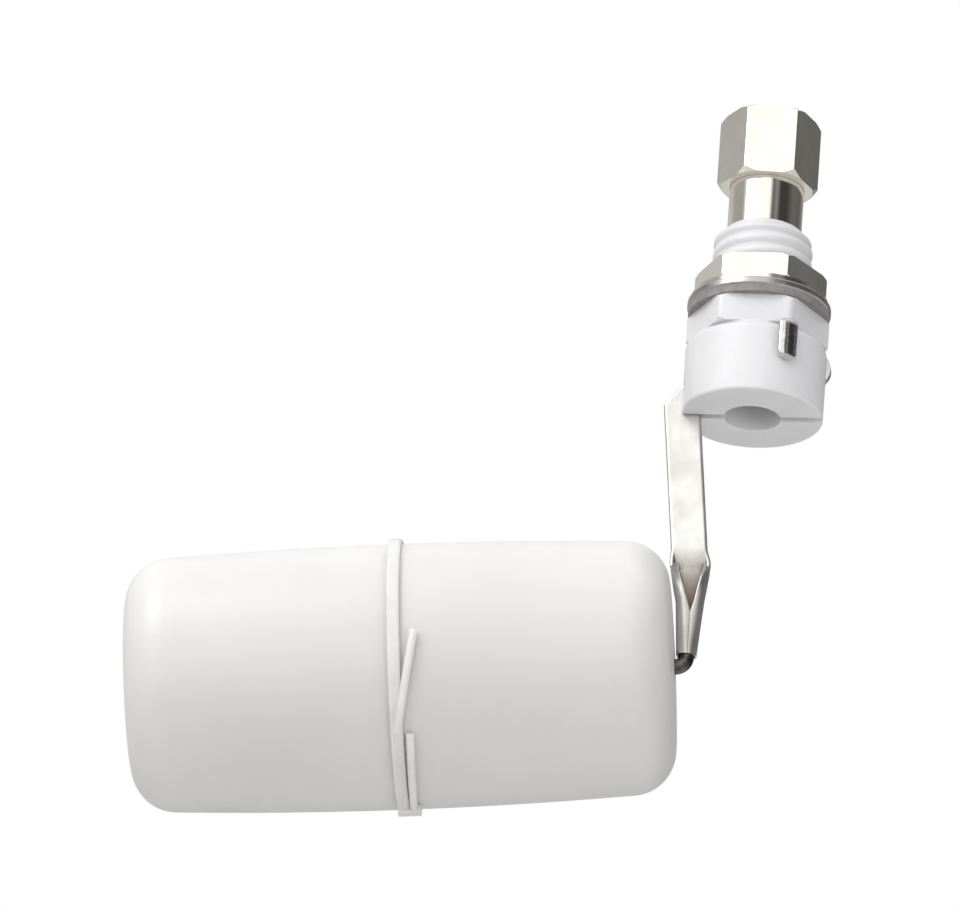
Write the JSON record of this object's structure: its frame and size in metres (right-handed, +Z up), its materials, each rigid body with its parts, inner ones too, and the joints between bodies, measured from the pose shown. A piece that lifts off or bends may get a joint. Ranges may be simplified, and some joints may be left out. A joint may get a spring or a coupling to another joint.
{
  "type": "float valve",
  "caption": "Lever float valve: tube compression inlet, bulkhead shank with lock nut, round outlet body, bent strip lever and hollow barrel float that lifts a plunger onto its seat",
  "frame": {"origin": "on the shank axis, in the plane where the body's hexagon seats against the tank wall", "axes": "+Z up the shank to the inlet, -X out to the float, lever swings in the XZ plane, -Y is the front with the split legs of the pivot pin"},
  "size_m": [0.1004, 0.0406, 0.1133],
  "materials": {
    "nickel_plate": "nickel plated brass, turned, faint yellowish cast",
    "brass": "bare turned brass",
    "stainless": "bright rolled stainless strip",
    "rod_steel": "dark drawn steel rod",
    "black_rubber": "black nitrile",
    "grey_rubber": "grey rubber sheet",
    "acetal_white": "moulded white acetal",
    "acetal_natural": "natural acetal",
    "float_poly": "translucent blow-moulded polyethylene",
    "band_poly": "translucent nylon tie"
  },
  "bodies": {
    "valve": {"valve_body": "acetal_white", "inlet_stem": "nickel_plate", "inlet_screen": "stainless", "nozzle_seat": "stainless", "stem_o_ring": "black_rubber", "compression_sleeve": "brass", "wall_gasket": "grey_rubber", "pivot_pin": "stainless"},
    "coupling_nut": {"compression_nut": "nickel_plate"},
    "backing_washer": {"wall_washer": "nickel_plate"},
    "fixing_nut": {"lock_nut": "nickel_plate"},
    "lever": {"lever_arm": "stainless", "float_rod": "rod_steel", "rod_seal": "black_rubber", "float_socket": "float_poly", "float_shell_arm_side": "float_poly", "float_shell_free_end": "float_poly", "float_band": "band_poly"},
    "piston": {"plunger": "acetal_natural", "seat_disc": "black_rubber"}
  },
  "joints": [
    {"name": "lever_swing", "type": "hinge", "parent": "valve", "child": "lever", "pos_m": [0.0051, 0, -0.0086], "axis": [0, 1, 0], "range_deg": [0, 18]},
    {"name": "plunger_lift", "type": "slide", "parent": "valve", "child": "piston", "axis": [0, 0, 1], "range_m": [0, 0.0015]},
    {"name": "coupling_nut_turn", "type": "hinge", "parent": "valve", "child": "coupling_nut", "pos_m": [0, 0, 0.026], "axis": [0, 0, 1], "continuous": true},
    {"name": "washer_slide", "type": "slide", "parent": "valve", "child": "backing_washer", "axis": [0, 0, 1], "range_m": [0, 0.004]},
    {"name": "lock_nut_turn", "type": "hinge", "parent": "backing_washer", "child": "fixing_nut", "pos_m": [0, 0, 0.005], "axis": [0, 0, 1], "range_deg": [0, 1440]}
  ],
  "couplings": [
    {"joint": "plunger_lift", "follows": "lever_swing", "m_per_rad": 0.00477},
    {"joint": "washer_slide", "follows": "lock_nut_turn", "m_per_rad": 0.000159}
  ]
}
